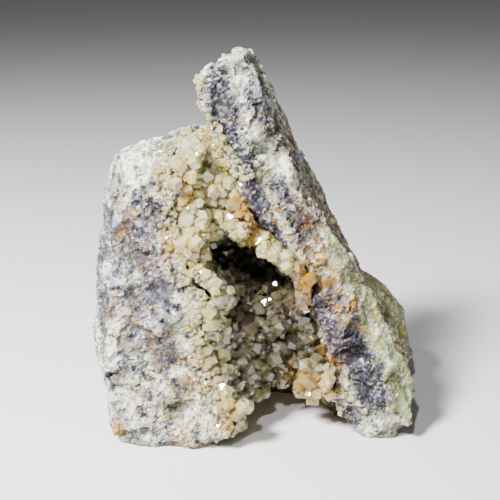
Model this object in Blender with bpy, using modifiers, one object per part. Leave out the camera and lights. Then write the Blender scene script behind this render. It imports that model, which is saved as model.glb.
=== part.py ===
"""A broken half of a quartz geode, standing on the rim of its own break.

The shell of rock is one solid, and the crust of quartz that lines its hollow is another.
X runs to the right, Y away from the viewer and Z up. Sizes are in millimetres until they
reach a mesh. The origin ends up on the table, under the middle of the finished stone.
"""

import math
import random

import bmesh
import bpy
from mathutils import Matrix, Vector, noise
from mathutils.bvhtree import BVHTree
from mathutils.geometry import intersect_point_line

MM = 0.001

# The rock shell
OUTLINE_POINTS = 56
VOXEL = 0.62
ROCK_SHARE_KEPT = 0.058
COARSE_LUMPS = 1.5
COARSE_LUMP_SIZE = 9.0
FINE_LUMPS = 1.3
FINE_LUMP_SIZE = 4.2
GROUND_BOX = 120.0
CURVE_STEPS = 12
FACING_LEAST = 0.25

# The quartz crust
CRUST_THICKNESS = 1.9
CLEARANCE = 0.32
WALL_SHARE_KEPT = 0.032
ROOM_SHARE_KEPT = 0.032
CAVITY_LUMPS = 0.9
CAVITY_LUMP_SIZE = 5.0

# Left lobe: its broken face leans back and turns a little to the left.
LOBE_FRONT = [
    (-12.5, -1.6), (-17.6, -1.4), (-20.6, 1.4), (-22.0, 7.5), (-22.8, 13.6), (-22.2, 19.0),
    (-22.4, 24.0), (-22.0, 30.5), (-20.8, 36.6), (-18.6, 41.6), (-15.2, 43.9), (-11.0, 44.4),
    (-8.4, 44.6), (-8.6, 40.5), (-9.8, 36.0), (-10.2, 32.2), (-8.6, 27.6), (-6.4, 23.4),
    (-6.2, 18.6), (-6.6, 14.8), (-4.6, 10.4), (-2.2, 6.2), (-2.0, 3.4), (-5.0, 0.2), (-8.6, -1.2),
]
LOBE_MIDDLE = [
    (-12.5, -1.0), (-18.2, -0.6), (-22.0, 3.8), (-23.4, 8.8), (-24.6, 14.0), (-23.6, 18.6),
    (-24.2, 22.9), (-23.2, 29.5), (-22.4, 36.5), (-20.0, 41.4), (-16.4, 43.6), (-12.0, 44.8),
    (-7.6, 45.8), (-4.6, 43.0), (-3.0, 38.0), (-3.0, 33.0), (-3.4, 28.0), (-3.6, 23.0),
    (-3.6, 18.0), (-3.4, 14.0), (-2.6, 10.0), (-1.2, 6.0), (-1.0, 3.0), (-4.0, 0.2), (-8.0, -0.6),
]
LOBE_BACK = [
    (-11.0, 1.5), (-15.5, 2.0), (-18.5, 6.0), (-20.0, 11.0), (-20.6, 16.0), (-20.2, 21.0),
    (-19.6, 26.0), (-18.2, 31.0), (-16.0, 35.5), (-13.0, 38.5), (-9.5, 40.5), (-6.0, 41.0),
    (-2.5, 40.0), (0.5, 37.0), (1.5, 33.0), (2.0, 29.0), (2.0, 25.0), (2.0, 21.0),
    (2.0, 17.0), (1.5, 13.0), (1.0, 9.0), (0.5, 6.0), (-1.0, 3.5), (-4.0, 2.0), (-8.0, 1.5),
]
LOBE_SECTIONS = [
    (LOBE_FRONT, -13.6, 0.90), (LOBE_FRONT, -12.4, 1.0), (LOBE_MIDDLE, -7.0, 1.0),
    (LOBE_MIDDLE, -1.0, 0.98), (LOBE_BACK, 8.0, 1.0), (LOBE_BACK, 12.0, 0.72),
]
LOBE_LEAN = 0.19
LOBE_TURN = -0.16

# Right limb: a slab of the shell, seen on its broken edge, from the peak down to the right foot.
LIMB_FRONT = [
    (19.8, -0.9), (16.8, 0.2), (14.2, 2.6), (12.2, 5.6), (11.0, 8.4), (12.0, 11.4), (12.4, 15.0),
    (10.4, 19.2), (7.6, 22.8), (3.4, 26.6), (1.2, 30.4), (0.2, 35.0), (-0.8, 38.8), (-3.2, 41.8),
    (-5.2, 44.6), (-6.6, 47.6), (-7.4, 50.8), (-7.5, 54.0), (-5.6, 56.0), (-2.4, 57.2), (0.6, 56.0),
    (1.9, 52.6), (3.4, 48.4), (5.4, 43.4), (7.6, 37.8), (10.2, 32.0), (13.4, 26.2), (16.4, 22.2),
    (18.6, 18.2), (20.6, 14.6), (22.2, 11.0), (23.4, 7.6), (24.0, 4.6), (23.2, 1.8), (21.8, -0.4),
]
LIMB_MIDDLE = [
    (20.2, -0.8), (17.0, 0.4), (14.6, 2.6), (13.2, 5.6), (12.6, 8.4), (12.8, 11.4), (12.4, 15.0),
    (10.6, 19.2), (8.0, 22.8), (4.4, 26.6), (2.4, 30.4), (1.0, 35.0), (-0.2, 38.8), (-2.4, 41.8),
    (-4.4, 44.6), (-6.0, 47.6), (-6.6, 50.8), (-6.8, 53.6), (-4.6, 56.0), (-1.2, 57.7), (1.1, 56.2),
    (2.3, 52.8), (4.1, 48.8), (6.5, 43.6), (9.1, 38.6), (11.8, 33.4), (14.4, 28.2), (16.8, 23.8),
    (20.0, 19.2), (22.4, 15.0), (23.8, 11.0), (24.6, 7.6), (24.8, 4.6), (24.2, 1.6), (22.4, -0.4),
]
LIMB_BACK = [
    (20.0, 1.4), (17.6, 2.2), (15.6, 4.2), (14.4, 6.8), (13.8, 9.6), (13.2, 12.6), (12.2, 15.8),
    (10.4, 19.2), (8.2, 22.8), (5.8, 26.4), (4.0, 30.2), (2.6, 34.0), (1.4, 37.6), (0.0, 40.6),
    (-1.4, 43.4), (-2.6, 46.0), (-3.4, 48.4), (-3.2, 51.0), (-1.8, 53.0), (0.4, 53.6), (2.0, 52.0),
    (3.4, 49.4), (5.0, 46.2), (7.0, 42.2), (9.4, 38.0), (11.8, 33.4), (14.0, 28.8), (16.2, 24.2),
    (18.4, 20.0), (20.2, 16.0), (21.6, 12.2), (22.6, 8.8), (22.8, 6.0), (22.6, 3.4), (21.6, 1.8),
]
LIMB_SECTIONS = [
    (LIMB_FRONT, -13.2, 0.90), (LIMB_FRONT, -12.2, 1.0), (LIMB_MIDDLE, -5.5, 1.0),
    (LIMB_BACK, 3.5, 1.0), (LIMB_BACK, 8.0, 0.80),
]
LIMB_LEAN = 0.20
LIMB_TURN = 0.10

# Rounded back of the shell: centre, radii, and turn about Y in degrees
BACK_LUMPS = [
    ((-6.5, 3.5, 17.0), (16.0, 13.0, 23.5), 10.0),
    ((7.0, 5.0, 10.0), (15.0, 13.5, 17.5), -24.0),
    ((18.2, 10.0, 6.5), (9.2, 8.6, 13.4), -6.0),
    ((-1.5, 2.0, 33.0), (7.6, 9.6, 17.0), 8.0),
    ((4.0, 5.0, 24.0), (10.5, 9.5, 16.0), -22.0),
    ((-3.0, 4.5, 36.0), (7.5, 7.5, 9.0), 0.0),
    ((-12.0, 9.0, 8.0), (9.5, 8.0, 11.5), 0.0),
]
# Ridges of the greenish rind along the outside of the limb: radius, then points
RIND_RIDGES = [
    (1.5, [(9.6, -4.0, 34.0), (13.4, -4.6, 27.0), (17.2, -5.0, 21.5), (20.4, -5.8, 15.8),
           (22.8, -7.2, 10.4), (24.4, -8.6, 5.0), (23.4, -10.2, 2.2)]),
    (1.3, [(13.0, 0.4, 31.0), (16.8, 0.2, 24.0), (20.4, -0.4, 18.4), (23.4, -1.0, 12.6),
           (25.0, -2.0, 7.2)]),
]

# Broken faces: the crest between the limb's two slopes, in X and Z
LIMB_CREST = [(-4.4, 55.0), (-3.4, 49.0), (-1.6, 44.0), (1.4, 38.0), (4.6, 31.0), (9.6, 23.0),
              (13.6, 16.6), (17.4, 9.0), (20.0, 2.0)]
LIMB_SLOPE = 0.42
LIMB_SLOPE_DEPTH = 2.0
LIMB_SLOPE_WIDTH = 7.5
LIMB_SLOPE_FADE = 2.5
# Ledges: X from, X to, Z of the lip, depth under it, and how far the hollow under it runs down
LEDGES = [
    (11.4, 18.2, 14.2, 1.7, 3.4),
    (-21.5, -12.5, 24.5, 0.9, 5.0),
    (-17.0, -8.0, 12.5, 0.8, 4.0),
    (-20.5, -9.5, 39.0, -0.9, 4.5),
]
LEDGE_WANDER = 0.9
LEDGE_TAPER = 2.0
# Pits and bumps on the broken faces: X, Z, radius, depth, with bumps as less than nothing
PITS = [
    (1.5, 43.0, 1.3, 1.7), (-13.0, 19.6, 1.3, 1.1), (-15.4, 35.6, 1.6, 1.0),
    (4.4, 46.0, 1.6, 1.2), (6.4, 41.2, 1.7, -1.2), (11.8, 26.5, 1.6, 1.1),
    (-11.0, 6.0, 2.0, 1.2), (-19.0, 10.6, 2.2, -1.2), (-13.4, 27.6, 2.0, -0.9),
    (20.6, 6.4, 1.8, -1.0), (2.4, 33.6, 1.4, -0.8), (-17.4, 17.0, 1.8, 0.9),
]

# Valleys in the old outside: radius, depth, then points
VALLEYS = [
    (2.9, 2.9, [(14.6, -0.6, 30.0), (17.8, 0.8, 22.5), (20.8, 1.4, 16.5), (23.4, 1.2, 10.0),
                (25.0, 0.6, 3.0)]),
    (2.6, 1.8, [(8.0, 9.0, 36.0), (10.0, 12.5, 26.0), (9.0, 17.0, 12.0), (8.0, 18.5, 2.0)]),
    (2.4, 1.6, [(-9.0, 12.0, 36.0), (-12.0, 15.0, 24.0), (-9.0, 17.0, 14.0), (-11.0, 18.0, 3.0)]),
    (2.0, 1.3, [(-22.0, 2.0, 30.0), (-23.0, 5.0, 20.0), (-21.0, 10.0, 12.0)]),
]

# The hollow: centre, radii, and turn about Y in degrees
CAVITY = [
    ((-6.7, -7.4, 40.2), (2.0, 4.4, 6.6), -15.0),
    ((-4.7, -9.0, 32.0), (3.6, 5.6, 7.4), -14.0),
    ((0.3, -2.4, 25.3), (8.8, 9.4, 5.0), 27.0),
    ((2.8, -10.6, 13.2), (6.8, 8.4, 12.2), -22.0),
    ((5.2, -7.6, 1.6), (6.8, 11.0, 6.0), -12.0),
]
# Swellings of the crust inside the hollow: centre and radii
SWELLINGS = [
    ((0.6, -1.6, 16.0), (5.2, 5.0, 3.6)),
    ((-4.0, -4.4, 13.2), (3.0, 3.2, 4.2)),
    ((7.2, -1.8, 14.2), (3.4, 4.2, 3.2)),
    ((10.6, -7.4, 10.8), (2.8, 3.2, 3.8)),
    ((-1.4, -1.0, 8.4), (4.0, 3.4, 3.4)),
    ((3.6, 1.0, 9.6), (4.0, 3.6, 3.4)),
]

# The mouth of the deep hole, which no quartz point grows into: centre, radii and turn
HOLE_MOUTH = ((-0.4, -7.0, 25.6), (6.9, 10.0, 3.1), 27.0)
# The low arch under the crust, where the rock is bare: centre and radii
BARE_ARCH = ((7.6, -7.0, -0.5), (9.6, 17.0, 8.6))

# Quartz points of the crust
POINT_COUNT = 112
POINT_TRIES = 9000
POINT_SPACING = 2.4
POINT_RADIUS = (1.0, 1.6)
POINT_LENGTH = (1.5, 3.0)
POINT_SIZES_TRIED = (1.0, 0.55)
POINT_ROOT = 0.9
POINT_LOWEST = 5.6
POINT_TIP_SHARE = 0.45
POINT_TILT = 0.55
POINT_TIP_SHIFT = 0.25


def clear_scene():
    for thing in list(bpy.data.objects):
        bpy.data.objects.remove(thing)


def collection(name):
    made = bpy.data.collections.new(name)
    bpy.context.scene.collection.children.link(made)
    return made


def object_from(bm, name, where):
    mesh = bpy.data.meshes.new(name)
    bm.to_mesh(mesh)
    bm.free()
    made = bpy.data.objects.new(name, mesh)
    where.objects.link(made)
    return made


def hide_helper(thing):
    thing.hide_render = True
    thing.display_type = "WIRE"
    return thing


def evaluated_copy(thing, name, where):
    """A new object with the mesh that thing's modifiers make, with nothing left to evaluate."""
    bpy.context.view_layer.update()
    graph = bpy.context.evaluated_depsgraph_get()
    mesh = bpy.data.meshes.new_from_object(thing.evaluated_get(graph))
    made = bpy.data.objects.new(name, mesh)
    made.matrix_world = thing.matrix_world
    where.objects.link(made)
    return made


def boolean(thing, other, operation, overlapping=False):
    cut = thing.modifiers.new(other.name, "BOOLEAN")
    cut.operation = operation
    cut.solver = "EXACT"
    cut.object = other
    cut.use_self = overlapping
    return cut


def closed_curve(points, count):
    """Evenly spaced points along a smooth closed curve through the points."""
    path = []
    size = len(points)
    for i in range(size):
        a, b, c, d = (Vector(points[(i + k) % size]) for k in (-1, 0, 1, 2))
        for step in range(CURVE_STEPS):
            t = step / CURVE_STEPS
            path.append(0.5 * (2 * b + (c - a) * t + (2 * a - 5 * b + 4 * c - d) * t * t
                               + (3 * b - a - 3 * c + d) * t ** 3))
    lengths = [(path[(i + 1) % len(path)] - p).length for i, p in enumerate(path)]
    spacing = sum(lengths) / count
    out, walked, i = [], 0.0, 0
    for k in range(count):
        while walked + lengths[i] < k * spacing:
            walked += lengths[i]
            i += 1
        share = (k * spacing - walked) / lengths[i]
        out.append(path[i].lerp(path[(i + 1) % len(path)], share))
    return out


def slab(name, sections, lean, turn, where):
    """A loft through upright outlines, from front to back, each plane leaning back and turned."""
    bm = bmesh.new()
    loops = []
    for outline, depth, scale in sections:
        curve = closed_curve(outline, OUTLINE_POINTS)
        centre = sum(curve, Vector((0, 0))) / len(curve)
        ring = []
        for p in curve:
            x, z = centre + (p - centre) * scale
            y = depth + lean * z + turn * (x - centre.x)
            ring.append(bm.verts.new(Vector((x, y, z)) * MM))
        loops.append([bm.edges.new((ring[i - 1], v)) for i, v in enumerate(ring)])
    for near, far in zip(loops, loops[1:]):
        bmesh.ops.bridge_loops(bm, edges=near + far)
    for end in (loops[0], loops[-1]):
        bmesh.ops.contextual_create(bm, geom=end)
    bmesh.ops.triangulate(bm, faces=bm.faces)
    bmesh.ops.recalc_face_normals(bm, faces=bm.faces)
    return object_from(bm, name, where)


def ellipsoid(bm, centre, radii, turn=0.0, detail=3, lumps=0.0, grow=0.0):
    """A lumpy ellipsoid added to bm, with its surface moved out by grow."""
    ball = bmesh.ops.create_icosphere(bm, subdivisions=detail, radius=1.0)["verts"]
    rotation = Matrix.Rotation(math.radians(turn), 3, "Y")
    middle = Vector(centre)
    for v in ball:
        unit = v.co.copy()
        out = Vector((unit.x / radii[0], unit.y / radii[1], unit.z / radii[2])).normalized()
        place = Vector((unit.x * radii[0], unit.y * radii[1], unit.z * radii[2]))
        place = middle + rotation @ place
        swell = lumps * noise.noise(place / CAVITY_LUMP_SIZE)
        v.co = (place + rotation @ out * (swell + grow)) * MM
    return ball


def fused_ellipsoids(name, shapes, share_kept, where, **how):
    """Several lumpy ellipsoids melted into one smooth closed body."""
    bm = bmesh.new()
    for shape in shapes:
        ellipsoid(bm, *shape, **how)
    loose = object_from(bm, name + "_loose", where)
    fuse = loose.modifiers.new("fuse", "REMESH")
    fuse.mode = "VOXEL"
    fuse.voxel_size = VOXEL * MM
    relax = loose.modifiers.new("relax", "SMOOTH")
    relax.iterations = 2
    thin = loose.modifiers.new("thin", "DECIMATE")
    thin.ratio = share_kept
    thin.use_collapse_triangulate = True
    made = hide_helper(evaluated_copy(loose, name, where))
    bpy.data.objects.remove(loose)
    return made


def ridge(radius, points, name, where):
    """A rounded ridge along a smooth curve through the points, as a mesh."""
    data = bpy.data.curves.new(name, "CURVE")
    data.dimensions = "3D"
    data.bevel_depth = radius * MM
    data.bevel_resolution = 3
    data.use_fill_caps = True
    spline = data.splines.new("NURBS")
    spline.points.add(len(points) - 1)
    spline.use_endpoint_u = True
    for point, place in zip(spline.points, points):
        point.co = (*(Vector(place) * MM), 1.0)
    line = bpy.data.objects.new(name + "_line", data)
    where.objects.link(line)
    made = evaluated_copy(line, name, where)
    bpy.data.objects.remove(line)
    bm = bmesh.new()
    bm.from_mesh(made.data)
    bmesh.ops.remove_doubles(bm, verts=bm.verts, dist=0.01 * MM)
    bm.to_mesh(made.data)
    bm.free()
    return made


def texture(name, kind, size):
    made = bpy.data.textures.new(name, kind)
    made.noise_scale = size * MM
    return made


def crest_distance(x, z):
    """Distance from the crest of the limb, more than nothing on the side of the hollow."""
    best, side = 1e9, 0.0
    for (ax, az), (bx, bz) in zip(LIMB_CREST, LIMB_CREST[1:]):
        run = Vector((bx - ax, bz - az))
        off = Vector((x - ax, z - az))
        share = min(1.0, max(0.0, off.dot(run) / run.length_squared))
        gap = off - run * share
        if gap.length < best:
            best = gap.length
            side = -1.0 if run.x * off.y - run.y * off.x > 0 else 1.0
    return best * side


def carved_depth(x, z):
    """How far the broken front face lies behind its plain surface at X and Z."""
    depth = 0.0
    across = crest_distance(x, z)
    if 0 < across < LIMB_SLOPE_WIDTH:
        fade = min(1.0, (LIMB_SLOPE_WIDTH - across) / LIMB_SLOPE_FADE)
        depth += min(LIMB_SLOPE_DEPTH, LIMB_SLOPE * across) * fade
    for left, right, lip, deep, run in LEDGES:
        edge = lip + LEDGE_WANDER * noise.noise(Vector((x * 0.35, lip, 0.0)))
        below = (edge - z) / run
        if left < x < right and 0 < below < 1:
            ends = min(1.0, (x - left) / LEDGE_TAPER, (right - x) / LEDGE_TAPER)
            depth += deep * ends * (1 - below)
    for px, pz, radius, deep in PITS:
        near = math.hypot(x - px, z - pz) / radius
        if near < 1:
            depth += deep * (1 - near * near)
    return depth


def valley_depth(place):
    """How far the valleys sink the old outside at a place."""
    depth = 0.0
    for radius, deep, line in VALLEYS:
        for start, end in zip(line, line[1:]):
            near, share = intersect_point_line(place, Vector(start), Vector(end))
            near = Vector(start).lerp(Vector(end), min(1.0, max(0.0, share)))
            gap = (place - near).length / radius
            if gap < 1:
                depth = max(depth, deep * (1 - gap * gap))
    return depth


def carve(stone):
    """Sinks the valleys into the outside, and ledges, pits and slopes into the front."""
    moves = []
    for v in stone.data.vertices:
        facing = max(0.0, -v.normal.y - FACING_LEAST) / (1 - FACING_LEAST)
        place = v.co / MM
        sink = carved_depth(place.x, place.z) * min(1.0, facing * 1.6) if facing else 0.0
        moves.append(Vector((0, sink, 0)) - v.normal * valley_depth(place))
    for v, move in zip(stone.data.vertices, moves):
        v.co += move * MM


def raw_stone(where):
    """The whole block of rock before its hollow is cut: lobes fused, roughened and thinned out."""
    bm = bmesh.new()
    pieces = [
        slab("lobe", LOBE_SECTIONS, LOBE_LEAN, LOBE_TURN, where),
        slab("limb", LIMB_SECTIONS, LIMB_LEAN, LIMB_TURN, where),
    ]
    pieces += [ridge(r, points, f"ridge_{i}", where) for i, (r, points) in enumerate(RIND_RIDGES)]
    for piece in pieces:
        bm.from_mesh(piece.data)
        bpy.data.objects.remove(piece)
    for centre, radii, turn in BACK_LUMPS:
        ellipsoid(bm, centre, radii, turn, detail=4)
    loose = object_from(bm, "loose_stone", where)
    fuse = loose.modifiers.new("fuse", "REMESH")
    fuse.mode = "VOXEL"
    fuse.voxel_size = VOXEL * MM
    relax = loose.modifiers.new("relax", "SMOOTH")
    relax.iterations = 3
    stone = evaluated_copy(loose, "raw_stone", where)
    bpy.data.objects.remove(loose)
    carve(stone)
    for name, kind, size, depth in (
        ("coarse", "CLOUDS", COARSE_LUMP_SIZE, COARSE_LUMPS),
        ("fine", "VORONOI", FINE_LUMP_SIZE, FINE_LUMPS),
    ):
        rough = stone.modifiers.new(name, "DISPLACE")
        rough.texture = texture(name, kind, size)
        rough.texture_coords = "GLOBAL"
        rough.strength = depth * MM
        rough.mid_level = 0.5
    clean = stone.modifiers.new("clean", "REMESH")
    clean.mode = "VOXEL"
    clean.voxel_size = VOXEL * MM
    thin = stone.modifiers.new("thin", "DECIMATE")
    thin.ratio = ROCK_SHARE_KEPT
    thin.use_collapse_triangulate = True
    return hide_helper(stone)


def ground(where):
    """Everything under the table's surface."""
    bm = bmesh.new()
    bmesh.ops.create_cube(bm, size=GROUND_BOX * MM)
    bmesh.ops.translate(bm, verts=bm.verts, vec=(0, 0, -GROUND_BOX / 2 * MM))
    return hide_helper(object_from(bm, "ground", where))


def material(name, colour, roughness):
    made = bpy.data.materials.new(name)
    made.use_nodes = True
    shader = made.node_tree.nodes["Principled BSDF"]
    shader.inputs["Base Color"].default_value = (*colour, 1.0)
    shader.inputs["Roughness"].default_value = roughness
    shader.inputs["Metallic"].default_value = 0.0
    made.diffuse_color = (*colour, 1.0)
    return made


def surface_tree(thing):
    bpy.context.view_layer.update()
    return BVHTree.FromObject(thing, bpy.context.evaluated_depsgraph_get())


def quartz_point(bm, place, axis, radius, length, spin):
    """A six-sided quartz point rooted under place, with its pyramid off centre."""
    ring = bmesh.ops.create_cone(
        bm, segments=6, radius1=radius * MM, radius2=radius * MM,
        depth=(length + POINT_ROOT) * MM, cap_ends=True, cap_tris=False,
    )["verts"]
    top = [v for v in ring if v.co.z > 0]
    face = next(f for f in top[0].link_faces if all(v in top for v in f.verts))
    tip = bmesh.ops.poke(bm, faces=[face])["verts"][0]
    tip.co.x += POINT_TIP_SHIFT * radius * MM * math.cos(spin * 5)
    tip.co.y += POINT_TIP_SHIFT * radius * MM * math.sin(spin * 5)
    for v in top:
        v.co.z -= POINT_TIP_SHARE * length * MM
    grown = axis.to_track_quat("Z", "Y").to_matrix().to_4x4() @ Matrix.Rotation(spin, 4, "Z")
    lift = Matrix.Translation(Vector((0, 0, (length - POINT_ROOT) / 2 * MM)))
    whole = ring + [tip]
    bmesh.ops.transform(bm, matrix=Matrix.Translation(place) @ grown @ lift, verts=whole)
    return whole


def in_mouth(place):
    """True where place lies within the mouth of the deep hole."""
    centre, radii, turn = HOLE_MOUTH
    off = Matrix.Rotation(-math.radians(turn), 3, "Y") @ (place / MM - Vector(centre))
    return sum((off[i] / radii[i]) ** 2 for i in range(3)) < 1


def is_clear(rock_tree, samples):
    """True where every sample is off the rock by the clearance, and out of the hole's mouth."""
    for place in samples:
        near, normal, index, distance = rock_tree.find_nearest(place)
        if distance < CLEARANCE * MM or (place - near).dot(normal) < 0 or in_mouth(place):
            return False
    return True


def quartz_points(blank, rock, where):
    """Quartz points spread over the open faces of the crust, as loose closed bodies in one mesh."""
    rock_tree = surface_tree(rock)
    mesh = blank.data
    mesh.calc_loop_triangles()
    triangles = [
        t for t in mesh.loop_triangles
        if is_clear(rock_tree, [t.center + t.normal * 0.5 * MM])
        and rock_tree.ray_cast(t.center, t.normal, 2 * CLEARANCE * MM)[0] is None
        and t.center.z > POINT_LOWEST * MM
    ]
    weights = [t.area for t in triangles]
    rng = random.Random(11)
    bm = bmesh.new()
    taken = []
    for triangle in rng.choices(triangles, weights=weights, k=POINT_TRIES):
        if len(taken) >= POINT_COUNT:
            break
        a, b, c = (mesh.vertices[i].co for i in triangle.vertices)
        u, v = sorted((rng.random(), rng.random()))
        place = a * u + b * (v - u) + c * (1 - v)
        if any((place - other).length < POINT_SPACING * MM for other in taken):
            continue
        lean = Vector((rng.uniform(-1, 1), rng.uniform(-1, 1), rng.uniform(-1, 1))) * POINT_TILT
        axis = (triangle.normal + lean).normalized()
        radius = rng.uniform(*POINT_RADIUS)
        length = rng.uniform(*POINT_LENGTH)
        spin = rng.uniform(0, math.tau)
        for size in POINT_SIZES_TRIED:
            grown = quartz_point(bm, place, axis, radius * size, length * size, spin)
            edges = {e for v in grown for e in v.link_edges}
            samples = [v.co for v in grown] + [(e.verts[0].co + e.verts[1].co) / 2 for e in edges]
            if min(v.co.z for v in grown) > CLEARANCE * MM and is_clear(rock_tree, samples):
                taken.append(place)
                break
            bmesh.ops.delete(bm, geom=grown, context="VERTS")
    print("quartz points", len(taken))
    return hide_helper(object_from(bm, "loose_points", where))


def keep_outer_skin(piece):
    """Fills sealed pockets between the points by keeping only the largest connected surface."""
    bm = bmesh.new()
    bm.from_mesh(piece.data)
    loose = set(bm.verts)
    islands = []
    while loose:
        reached = [loose.pop()]
        island = set(reached)
        while reached:
            for edge in reached.pop().link_edges:
                for v in edge.verts:
                    if v not in island:
                        island.add(v)
                        reached.append(v)
        loose -= island
        islands.append(island)
    islands.sort(key=len)
    inner = [v for island in islands[:-1] for v in island]
    bmesh.ops.delete(bm, geom=inner, context="VERTS")
    bm.to_mesh(piece.data)
    bm.free()


def centre_on_table(pieces):
    """Moves the meshes so that the middle of their shared box is over the origin."""
    places = [v.co for piece in pieces for v in piece.data.vertices]
    middle = [(min(p[i] for p in places) + max(p[i] for p in places)) / 2 for i in (0, 1)]
    for piece in pieces:
        piece.data.transform(Matrix.Translation((-middle[0], -middle[1], 0)))


def main():
    clear_scene()
    parts = collection("geode_half")
    helpers = collection("helpers")
    raw = raw_stone(helpers)
    below = ground(helpers)
    swellings = fused_ellipsoids("swellings", SWELLINGS, WALL_SHARE_KEPT, helpers)
    wall = fused_ellipsoids("wall", CAVITY, WALL_SHARE_KEPT, helpers, lumps=CAVITY_LUMPS)
    boolean(wall, swellings, "DIFFERENCE")
    room = fused_ellipsoids(
        "room", CAVITY, ROOM_SHARE_KEPT, helpers, lumps=CAVITY_LUMPS, grow=CRUST_THICKNESS
    )
    pocket = hide_helper(evaluated_copy(room, "pocket", helpers))
    swell = pocket.modifiers.new("swell", "DISPLACE")
    swell.strength = CLEARANCE * MM
    swell.mid_level = 0.0
    bored = hide_helper(evaluated_copy(raw, "bored", helpers))
    boolean(bored, pocket, "DIFFERENCE")
    boolean(bored, below, "DIFFERENCE")
    rock = evaluated_copy(bored, "rock_shell", parts)
    rock.data.materials.append(material("rock", (0.52, 0.48, 0.44), 0.9))
    lining = hide_helper(evaluated_copy(raw, "lining", helpers))
    boolean(lining, room, "INTERSECT")
    boolean(lining, wall, "DIFFERENCE")
    boolean(lining, below, "DIFFERENCE")
    bare = fused_ellipsoids("bare_arch", [BARE_ARCH], WALL_SHARE_KEPT, helpers)
    boolean(lining, bare, "DIFFERENCE")
    blank = hide_helper(evaluated_copy(lining, "blank", helpers))
    points = quartz_points(blank, rock, helpers)
    grown = hide_helper(evaluated_copy(blank, "grown", helpers))
    boolean(grown, points, "UNION", overlapping=True)
    crust = evaluated_copy(grown, "quartz_crust", parts)
    keep_outer_skin(crust)
    crust.data.materials.append(material("quartz", (0.78, 0.74, 0.6), 0.25))
    centre_on_table([rock, crust])


main()
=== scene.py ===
# %% [markdown]
# # Geode half
# A broken half of a small quartz geode stands like a tent on its own broken rim. Its rock is
# granular and mottled: chalky cream, lavender grey and blue-black, with rusty seams. A crust of
# milky yellow quartz points lines the hollow and runs up a gully between the two lobes. The packed
# part gives the true forms, and this scene adds the grain, the stains and the many small points.

import math
import random

import bmesh
import bpy
import numpy as np
from mathutils import Matrix, Vector, noise
from mathutils.bvhtree import BVHTree


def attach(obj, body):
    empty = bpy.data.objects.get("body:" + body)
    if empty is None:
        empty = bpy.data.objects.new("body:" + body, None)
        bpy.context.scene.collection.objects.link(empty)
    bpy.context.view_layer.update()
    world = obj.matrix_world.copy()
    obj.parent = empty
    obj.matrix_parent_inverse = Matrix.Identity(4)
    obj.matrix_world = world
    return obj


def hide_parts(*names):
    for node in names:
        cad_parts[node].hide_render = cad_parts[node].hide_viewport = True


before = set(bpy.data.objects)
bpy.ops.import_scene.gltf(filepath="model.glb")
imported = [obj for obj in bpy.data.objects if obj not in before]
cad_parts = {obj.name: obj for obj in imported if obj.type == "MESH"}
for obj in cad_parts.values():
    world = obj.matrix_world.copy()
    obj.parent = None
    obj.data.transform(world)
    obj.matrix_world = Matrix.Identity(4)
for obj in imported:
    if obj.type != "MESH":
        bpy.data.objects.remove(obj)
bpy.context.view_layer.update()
MM = 0.001
rock_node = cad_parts["rock_shell"]
crust_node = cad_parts["quartz_crust"]

# %% [markdown]
# The stains of the stone follow seams and patches that can be pointed at, so each is written as a
# short line of points on the stone, in millimetres, with a radius. A slow noise bends space before
# the distance to a line is taken. The edge of a stain then wanders as it does in nature.

# %% Measure distances to seams
def dense(line):
    """Starts and steps of the straight runs of a line, as two arrays."""
    points = np.array(line if len(line) > 1 else line * 2, float)
    return points[:-1], points[1:] - points[:-1]


def distance_to(places, line):
    """Distance in millimetres from each place to the nearest run of the line."""
    best = np.full(len(places), 1e9)
    for start, step in zip(*dense(line)):
        length = max(float(step @ step), 1e-9)
        share = np.clip(((places - start) @ step) / length, 0, 1)
        best = np.minimum(best, np.linalg.norm(places - start - share[:, None] * step, axis=1))
    return best


def stain(places, seams):
    """How strongly the seams mark each place: one inside a seam, none at twice its radius."""
    mark = np.zeros(len(places))
    for radius, strength, line in seams:
        reach = np.clip(2.0 - distance_to(places, line) / radius, 0, 1)
        mark = np.maximum(mark, strength * reach * reach * (3 - 2 * reach))
    return mark


def field(places, size, seed, octaves=1):
    """Smooth noise between about -1 and 1 at each place, with lumps of the size in millimetres."""
    shift = Vector((seed * 7.31, seed * 3.17, seed * 5.77))
    out = np.empty(len(places))
    for i, place in enumerate(places.tolist()):
        spot = Vector(place) / size + shift
        out[i] = noise.noise(spot) if octaves == 1 else noise.fractal(spot, 0.6, 2.1, octaves)
    return out


def wandering(places, size, reach, seed):
    """The places pushed about by slow noise."""
    push = [field(places, size, seed + k) for k in range(3)]
    return places + reach * np.stack(push, axis=1)


# %% [markdown]
# Broken rock is not only lumpy: it ends in small flat chips. Space is split into cells around
# scattered centres, and each cell is one flat facet with a tilt and a step of its own. Noise alone
# would look like soft clay, and chips modelled one by one would take thousands of pieces.

# %% Break the surface into flat chips
HALF = Vector((0.5, 0.5, 0.5))
TILT_SPREAD = 23.7
STEP_SPREAD = 41.3


def facets(places, size, seed, jump=0.22):
    """Height of a surface broken into flat tilted chips of the size in millimetres."""
    shift = Vector((seed * 3.31, seed * 7.17, seed * 2.77))
    out = np.empty(len(places))
    for i, place in enumerate(places.tolist()):
        spot = Vector(place) / size + shift
        centre = noise.voronoi(spot)[1][0]
        tilt = noise.cell_vector(centre * TILT_SPREAD)
        step = noise.cell(centre * STEP_SPREAD) - 0.5
        out[i] = (spot - centre).dot(tilt - HALF) + jump * step
    return out


# %% [markdown]
# The rock looks sugary: it broke through grains, so its faces are rough at every scale. A copy of
# the part's rock is remeshed finely and smoothed a little, which loses the flat faces of the part.
# A voxel remesh is chosen because it gives points of one even spacing, so the grains that are
# pushed out of it further on come out equally fine on every side.

# %% Grow a fine skin over the rock
GRAIN_VOXEL = 0.36


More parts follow.
